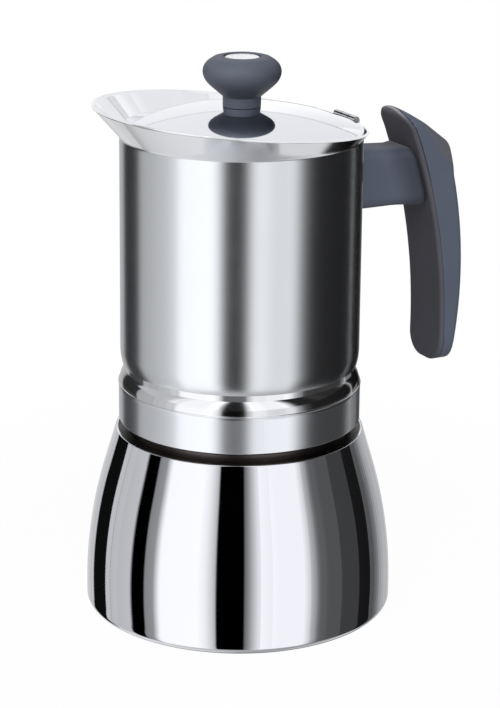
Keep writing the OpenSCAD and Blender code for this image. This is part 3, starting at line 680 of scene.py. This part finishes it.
def facetDistance(x, aside, z, scale=1):
    # how far a point lies outside the facet: a plane that leans back and is turned to the side;
    # scale turns the sizes into the point's unit
    atX, atZ, lean, turn = handleSize["chamfer"]
    lean, turn = math.radians(lean), math.radians(turn)
    return ((x - atX * scale) * (math.sin(lean) * math.cos(turn))
            + (aside - handleSize["half"] * scale) * (math.sin(lean) * math.sin(turn))
            + (z - atZ * scale) * math.cos(lean))


def gripField(points):
    # below zero inside the grip: crowned back, flat sides, round foot corners, round top, thumb slope,
    # two facets
    size = handleSize
    x, y, z = points[..., 0], points[..., 1], points[..., 2]
    outX, outZ, outR = size["outerArc"]
    ridge = np.hypot(x - outX, z - outZ) - (outR - size["crown"])
    low, high, swell = size["swell"]
    back = np.hypot(ridge, y) - size["crown"] - swell * np.clip((z - low) / (high - low), 0, 1)
    corner = size["corner"]
    across, down = np.abs(y) - size["half"] + corner, size["bottom"] + corner - z
    outline = np.hypot(np.maximum(across, 0), np.maximum(down, 0)) + np.minimum(np.maximum(across, down), 0)
    topHeight, topRadius = size["topRound"]
    top = np.hypot(y, np.maximum(z - topHeight, 0)) - topRadius
    outline = softMax(outline - corner, top, creaseSize["top"])
    thumbX, thumbZ, slope = size["thumb"]
    slope = math.radians(slope)
    thumb = (x - thumbX) * math.sin(slope) + (z - thumbZ) * math.cos(slope)
    field = softMax(softMax(outline, thumb, creaseSize["thumb"]), back, creaseSize["back"])
    return softMax(field, facetDistance(x, np.abs(y), z), creaseSize["facet"])


def castSolid(name, finish, real, field, rounds=176, capRows=30, halvings=34):
    # a long box of points is drawn in onto a solid: each point slides along the straight line to its root,
    # which lies inside the solid, and stops where the field is zero, found by halving the line
    first, last, lowOut, highOut, half, rows = castSize[name]["box"]
    rootAlong, rootOut = castSize[name]["along"], castSize[name]["out"]
    corner = np.array([[-1, -1], [1, -1], [1, 1], [-1, 1], [-1, -1]], float)
    around = np.linspace(0, 4, rounds, endpoint=False)
    loop = [np.interp(around, np.arange(5), corner[:, k]) for k in (0, 1)]
    along = np.concatenate([np.full(capRows, first), np.linspace(first, last, rows),
                            np.full(capRows, last)])
    shrink = np.concatenate([np.linspace(0, 1, capRows, endpoint=False), np.ones(rows),
                             np.linspace(1, 0, capRows + 1)[1:]])[:, None]
    out = (lowOut + highOut) / 2 + loop[0] * shrink * (highOut - lowOut) / 2
    side = loop[1] * shrink * half
    start = real(np.broadcast_to(along[:, None], out.shape), side, out)
    spot = np.clip(along, rootAlong[0], rootAlong[-1])
    inner = real(spot, np.zeros(len(spot)), np.interp(spot, rootAlong, rootOut))[:, None]
    near, far = np.zeros(out.shape), np.ones(out.shape)
    for _ in range(halvings):
        share = (near + far) / 2
        inside = field(inner + (start - inner) * share[..., None]) < 0
        near = np.where(inside, share, near)
        far = np.where(inside, far, share)
    return gridMesh(name, inner + (start - inner) * near[..., None], finish, sharp=50)


def onGrip(angle, side, out):
    # from the angle on the inner curve and the distance outside it to x, y, z
    arcX, arcZ, arcR = handleSize["innerArc"]
    turn = np.radians(angle)
    return np.stack([arcX + (arcR + out) * np.cos(turn), side, arcZ + (arcR + out) * np.sin(turn)], -1)


def onArm(along, side, out):
    # x, y and the height above the arm's middle to x, y, z
    middle = (handleSize["armLow"] + handleSize["armHigh"]) / 2
    return np.stack([along, side, middle + out], -1)


def gripLayers(points):
    # the whole grip with its inner edge rounded over, a little more at the tip,
    # and the distance from the inner curve
    start, end, forward = handleSize["tip"]
    share = np.clip((points[..., 2] - start) / (end - start), 0, 1)
    outside = arcDistance(points, handleSize["innerArc"]) + forward * share * share
    low, high = handleSize["edge"]
    start, rise = handleSize["edgeRise"]
    edge = low + (high - low) * np.clip((points[..., 2] - start) / rise, 0, 1)
    return softMax(gripField(points), -outside, edge), outside


def backField(points):
    # the part of the grip that lies outside the inner layer
    body, outside = gripLayers(points)
    return softMax(body, handleSize["layer"] - outside, creaseSize["layer"])


def frontField(points):
    # the part of the grip that lies within the inner layer, less the seam's gap
    body, outside = gripLayers(points)
    return softMax(body, outside - handleSize["layer"] + handleSize["seamGap"], creaseSize["layer"])


def armField(points):
    # a block between the jug's round wall and the grip's inner curve, which widens towards the grip
    size = handleSize
    x, y, z = points[..., 0], points[..., 1], points[..., 2]
    low, high = size["armLow"], size["armHigh"]
    toGrip = arcDistance(points, size["innerArc"])
    top = high - size["armFall"] * (x - size["jug"])
    run, less = size["flareRun"]
    share = np.clip(1 + toGrip / (run - less * np.clip((z - low) / (high - low), 0, 1)), 0, 1)
    widen = size["flare"] * share * share * (3 - 2 * share)
    tall = (top - low) / 2 + widen * size["flareUp"]
    block = softMax(np.abs(y) - size["armHalf"] - widen, np.abs(z - (low + top) / 2) - tall,
                    creaseSize["arm"])
    block = softMax(block, toGrip + size["gripGap"], creaseSize["armEnd"])
    return softMax(block, size["jug"] - np.hypot(x, y), creaseSize["armJug"])


# painted light and shade on the handle: where its colour changes, in metres, how far it changes, and to
# which colour
paintedLightLook = {
    "near": ((0.003, 0.013), 0.72, (42, 43, 52)),           # painted shade, by distance from the grip's inner curve
    # painted shadow in the crease against the grip, by the same distance
    "crease": ((0.0008, 0.0032), 0.7, (34, 34, 40)),
    "tip": ((0.1665, 0.1722), 1, (154, 153, 159)),          # painted highlight, by height
    "facet": ((-0.00016, -0.00004), 1, (93, 94, 101)),      # painted sheen, by distance outside the facets' planes
}


def armPaintedShade(tree, place, base):
    # painted shade: darker towards the grip's inner curve, with a painted shadow darkest in the crease
    # beside it
    x, _, z = place
    arcX, arcZ, arcR = (value * mm for value in handleSize["innerArc"])
    gap = arcR - tree.math("SQRT", (x - arcX) * (x - arcX) + (z - arcZ) * (z - arcZ))
    for name in ("near", "crease"):
        reach, depth, dark = paintedLightLook[name]
        base = tree.mixColour((1 - tree.between(gap, *reach)) * depth, base, colour(*dark))
    return base


def tipPaintedHighlight(tree, place, base):
    # painted highlight: the tip is painted paler towards its top
    reach, depth, pale = paintedLightLook["tip"]
    share = tree.between(place[2], *reach)
    return tree.mixColour(share * share * depth, base, colour(*pale))


def facetPaintedSheen(tree, place, base):
    # painted sheen: the two thumb facets are painted paler and greyer
    x, y, z = place
    reach, depth, grey = paintedLightLook["facet"]
    plane = facetDistance(x, tree.math("ABSOLUTE", y), z, mm)
    return tree.mixColour(tree.between(plane, *reach) * depth, base, colour(*grey))


finishes["arm"] = softPlastic("armPlastic", plasticLook["handle"], armPaintedShade)
finishes["shell"] = softPlastic("shellPlastic", plasticLook["handle"], facetPaintedSheen)
finishes["inner"] = softPlastic("gripPlastic", plasticLook["inner"], tipPaintedHighlight)
handleBlock = castSolid("handleBlock", finishes["arm"], onArm, armField)
gripShell = castSolid("gripShell", finishes["shell"], onGrip, backField)
gripFace = castSolid("gripFace", finishes["inner"], onGrip, frontField)
dress(handleBlock, "jug", "handle_plastic", "handle_arm")
dress(gripShell, "jug", "handle_plastic", "grip_back")
dress(gripFace, "jug", "grip_plastic", "grip_front")
for piece in (handleBlock, gripShell, gripFace):
    piece.visible_glossy = False
print("handle made")

# the finishes of the nodes that keep their own shape
nodeFinish = {
    # the boiler's neck takes the near-black turned tint, painted shade
    "boiler_neck": "turned", "valve_body": "brass", "valve_nut": "brass", "valve_washer": "valveSeal",
    "valve_pin": "fastener", "funnel_cup": "drawn", "funnel_screen": "drawn", "funnel_stem": "drawn",
    "gasket": "seal", "filter_plate": "drawn", "coffee_column": "drawn", "column_cap": "drawn",
    "jug_hinge_leaf": "fastener", "hinge_pin": "fastener", "lid_hinge_leaf": "fastener",
    "knob_washer": "knobSeal", "knob_screw": "fastener", "handle_bracket": "fastener",
    "handle_screw": "fastener",
}
for nodeName, finishName in nodeFinish.items():
    mesh = nodes[nodeName].data
    mesh.materials.clear()
    mesh.materials.append(finishes[finishName])
print("nodes finished")

studioLook = {
    # azimuth from the camera in degrees and light level: what the metal sees round the pot,
    # under is the light that comes up from the table, low reaches the panels' top edge, high lies above it
    "under": [(-180, 0.20), (-165, 0.30), (-150, 0.52), (-135, 0.66), (-122, 0.75), (-60, 0.60), (0, 0.42),
              (60, 0.30), (100, 0.42), (116, 0.66), (138, 0.66), (140.5, 0.008), (153, 0.008), (158, 0.27),
              (166, 0.27), (180, 0.20)],
    "low": [(-180, 0.52), (-160, 0.46), (-152, 0.41), (-146, 0.34), (-144, 0.02), (-141.5, 0.004),
            (-112.2, 0.004), (-111.8, 0.36), (-100, 0.40), (-87.4, 0.43), (-87.0, 0.0), (-74.4, 0.0),
            (-74.1, 0.22), (-66, 0.28), (-60, 0.98), (-30, 1.01), (-24, 0.86), (-19, 0.61), (-16.4, 0.42),
            (-16.1, 0.0), (4.8, 0.0), (5.2, 0.13), (8, 0.25), (16, 0.78), (31, 0.68), (51, 0.68),
            (58, 0.29), (64, 0.06), (72, 0.012), (158, 0.004), (180, 0.52)],
    "high": [(-180, 0.84), (-148, 0.84), (-142, 0.30), (-141, 0.01), (-120, 0.01), (-119, 0.48),
             (-87.4, 0.48), (-87, 0.01), (-74.6, 0.01), (-74.2, 0.30), (-66, 0.60), (-60, 0.95),
             (-22, 0.95), (-17, 0.30), (-14, 0.01), (4.8, 0.01), (6, 0.20), (13, 0.90), (48, 0.92),
             (54, 0.30), (58, 0.012), (78, 0.012), (84, 0.03), (92, 0.03), (98, 0.02), (118, 0.02),
             (126, 0.12), (134, 0.25), (145, 0.45), (160, 0.80), (180, 0.84)],
    # elevations where low turns into high, high into the ceiling and under into low
    "panelTop": (19.28, 19.32), "ceiling": (78, 86), "floorEdge": (-45, -36),
    "strength": 1.08, "above": 0.90,
    # soft light from below and from above, its share behind, and where each turns into the other
    "ambient": (0.15, 0.60), "ambientBehind": 0.6, "upDown": (-0.7, 0.7), "backAhead": (-0.7, 0.6),
    "cameraAzimuth": -118.0,
}
# what the spout and the lid see low round the pot
lowGlow = [(-180, -146, 0.38), (-146, -112, 0.82), (-112, -87.2, 0.42), (-87.2, -74.4, 0.38),
           (-74.4, -61, 0.40), (-20, -16.2, 0.35), (-16.2, 5, 0.80), (5, 13, 0.45), (13, 55, 0.15),
           (55, 62, 0.60), (62, 160, 0.82), (160, 168, 0.72), (168, 180, 0.55)]
# strips of light that only some pieces see: lowest and highest elevation, then for each strip the first and
# last azimuth from the camera and the light level
stripLamps = {
    "boilerStrips": {
        "sees": ["boilerBody"], "rise": (-41, 19),
        "strips": [(-180, -146, 0.12), (-146, -141.4, 0.38), (-118.6, -112, 0.51), (-112, -103, 0.125),
                   (-103, -87.2, 0.09), (17, 26, 0.16), (26, 51, 0.23), (51, 56, 0.20), (56, 61, 0.10),
                   (61, 67, 0.06), (67, 84, 0.07), (84, 103.5, 0.035), (118.5, 126, 0.08),
                   (126, 130, 0.13), (130, 134, 0.19), (134, 139, 0.30), (139, 146, 0.38),
                   (146, 154, 0.44), (154, 166, 0.42), (166, 180, 0.20)]},
    "boilerHigh": {"sees": ["boilerBody"], "rise": (19.3, 60), "strips": [(82, 94, 0.12)]},
    "rimSide": {"sees": ["jugRim"], "rise": (-38, -12), "strips": [(-180, -165, 0.10), (-165, -146, 0.20)]},
    "jugStrips": {
        "sees": ["jugBody", "collarRing"], "rise": (-41, 78),
        "strips": [(-144, -114, 0.018), (-87.2, -80.5, 0.455), (-80.5, -74.2, 0.50), (-74.2, -65, 0.32),
                   (-31, -19, 0.13), (7, 15, 0.20), (15, 26, 0.09), (44, 55, 0.08), (129, 132, 0.35)]},
    "collarStrips": {
        "sees": ["collarRing"], "rise": (-41, -9),
        "strips": [(-144, -122, 0.03), (-122, -104, 0.05), (-16.2, 5, 0.13), (26, 50, 0.20),
                   (50, 66, 0.14), (66, 84, 0.03), (84, 122, 0.03), (122, 150, 0.16)]},
    "spoutLow": {"sees": ["jugRim"], "rise": (-12, 19.3), "strips": lowGlow},
    "lidLow": {"sees": ["lidDome", "knobDisc"], "rise": (-4, 19.3), "strips": lowGlow},
    "spoutHigh": {
        "sees": ["jugRim", "lidDome", "knobDisc"], "rise": (19.3, 78),
        "strips": [(-142, -119.4, 0.82), (-119.4, -87.2, 0.38), (-87.2, -74.4, 0.40), (-74.4, -62, 0.35),
                   (-20, 7, 0.80), (50, 56, 0.40), (56, 126, 0.80), (126, 140, 0.65), (140, 156, 0.30)]},
}
# soft lamps: azimuth, elevation, power in watts, and the pieces that they are kept to
lampLook = {
    "keyLamp": (-122, 42, 7.0, ()),
    "handleLamp": (-84, 42, 5.4, ("handleBlock", "gripShell", "gripFace")),
    "knobLamp": (-172, 40, 5.0, ("knobGrip",)),
    "knobFill": (-145, 7, 2.2, ("knobGrip",)),
}
white = (1, 1, 1, 1)


def makeWorld(look):
    # light from a direction depends on its azimuth in three rings, under, low and high, with a white
    # ceiling above; only mirror-like rays see it, the camera sees white and everything else a soft light,
    # fainter below and behind
    world = bpy.data.worlds.new("studio")
    bpy.context.scene.world = world
    tree = ShaderTree(world)
    x, y, z = tree.split(tree.add("TexCoord", out=0))
    turn = math.radians(look["cameraAzimuth"])
    ahead = x * math.cos(turn) + y * math.sin(turn)
    aside = y * math.cos(turn) - x * math.sin(turn)
    share = tree.math("ARCTAN2", aside, ahead) / (2 * math.pi) + 0.5

    def ring(name):
        # the light level at this azimuth
        stops = [((angle + 180) / 360, level) for angle, level in look[name]]
        return tree.add("ValToRGB", {"stops": stops}, {0: share})

    def rise(name):
        # 0 below the first elevation, 1 above the second
        return tree.between(z, *(math.sin(math.radians(angle)) for angle in look[name]))

    around = tree.mixColour(rise("panelTop"), ring("low"), ring("high"))
    around = tree.mixColour(rise("floorEdge"), ring("under"), around)
    around = tree.mixColour(rise("ceiling"), around, (look["above"],) * 3 + (1,))
    low, high = look["ambient"]
    behind = look["ambientBehind"]
    upward, forward = tree.between(z, *look["upDown"]), tree.between(ahead, *look["backAhead"])
    plain = (low + upward * (high - low)) * (behind + forward * (1 - behind))
    mirrored = tree.ray("Glossy")
    level = tree.mixColour(mirrored, plain, around)
    level = tree.mixColour(tree.math("MAXIMUM", tree.ray("Camera"), tree.ray("Transmission")), level, white)
    strength = 1 + mirrored * (look["strength"] - 1)
    background = tree.add("Background", None, {"Color": level, "Strength": strength})
    tree.add("OutputWorld", None, {"Surface": background})


floorLook = {
    "rings": (0, 60, 120, 200, 300, 420), "depth": 0.02, "paper": 0.95,
    "white": 0.965, "fade": (0.10, 0.30),       # share of plain white at the pot, and where it turns to 1
}


def makeFloor(look):
    # a wide disc under the foot, rings of points; the camera sees white with the pot's faint shadow
    turn = fullTurn[::4]
    rings = np.array(look["rings"], float)
    points = turned(np.stack([rings, np.full(len(rings), -look["depth"])], -1), turn)
    material, tree = newMaterial("paperFloor")
    _, (x, y, _) = tree.place()
    away = tree.between(tree.math("SQRT", x * x + y * y), *look["fade"])
    paper = tree.add("BsdfDiffuse", None, {"Color": (look["paper"],) * 3 + (1,)})
    glow = tree.add("Emission", None, {"Color": white, "Strength": 1.0})
    share = look["white"] + away * (1 - look["white"])
    mixed = tree.add("MixShader", None, {0: share * tree.ray("Camera"), 1: paper, 2: glow})
    tree.add("OutputMaterial", None, {"Surface": mixed})
    number = np.arange(len(rings) * len(turn)).reshape(len(rings), len(turn))
    faces = quads(np.hstack([number, number[:, :1]])).tolist()
    floor = addMesh("floor", points.reshape(-1, 3), faces, material)
    floor.visible_glossy = False
    floor.visible_shadow = False


def lampGroup(name, pieceNames):
    # the pieces that some lamps light, as a collection outside the scene; a set of strips shares one
    group = bpy.data.collections.new(name)
    for pieceName in pieceNames:
        group.objects.link(bpy.data.objects[pieceName])
    return group


def addArea(data, side, out, middle):
    # an area lamp at its middle, which faces back along out and has its width along side
    lamp = bpy.data.objects.new(data.name, data)
    turn = Matrix([side, np.cross(out, side), out]).transposed().to_4x4()
    lamp.matrix_world = Matrix.Translation(middle) @ turn
    bpy.context.scene.collection.objects.link(lamp)
    return lamp


def addStrips(name, setup, distance=20.0, widest=16.0):
    # upright strips far round the pot, wide ones in several panels;
    # power is pi times area times light level
    seen = lampGroup(name, setup["sees"])
    low, high = (distance * math.tan(math.radians(angle)) for angle in setup["rise"])
    panels = []
    for first, last, level in setup["strips"]:
        edges = np.linspace(first, last, math.ceil((last - first) / widest) + 1)
        panels += [(one, two, level) for one, two in zip(edges[:-1], edges[1:])]
    for number, (first, last, level) in enumerate(panels):
        data = bpy.data.lights.new(f"{name}{number}", "AREA")
        data.shape = "RECTANGLE"
        data.size = 2 * distance * math.tan(math.radians(last - first) / 2)
        data.size_y = high - low
        data.energy = math.pi * data.size * data.size_y * level * studioLook["strength"]
        angle = math.radians((first + last) / 2 + studioLook["cameraAzimuth"])
        out = np.array([math.cos(angle), math.sin(angle), 0.0])
        side = np.array([-math.sin(angle), math.cos(angle), 0.0])
        lamp = addArea(data, side, out, [*(out[:2] * distance), (low + high) / 2])
        lamp.visible_camera = False
        lamp.visible_diffuse = False
        lamp.visible_transmission = False
        lamp.light_linking.receiver_collection = seen


def addLamp(name, azimuth, elevation, power, sees, distance=1.2, width=0.8, height=0.1):
    # a square lamp on a sphere round the pot's middle, facing it
    data = bpy.data.lights.new(name, "AREA")
    data.size = width
    data.energy = power
    a, e = math.radians(azimuth), math.radians(elevation)
    out = np.array([math.cos(e) * math.cos(a), math.cos(e) * math.sin(a), math.sin(e)])
    side = np.array([-math.sin(a), math.cos(a), 0.0])
    lamp = addArea(data, side, out, out * distance + [0, 0, height])
    lamp.visible_glossy = False
    if sees:
        lamp.light_linking.receiver_collection = lampGroup(name, sees)


makeWorld(studioLook)
makeFloor(floorLook)
for lampName, lampSetup in lampLook.items():
    addLamp(lampName, *lampSetup)
for stripName, stripSetup in stripLamps.items():
    addStrips(stripName, stripSetup)
bpy.context.scene.view_settings.view_transform = "Standard"
print("studio made")
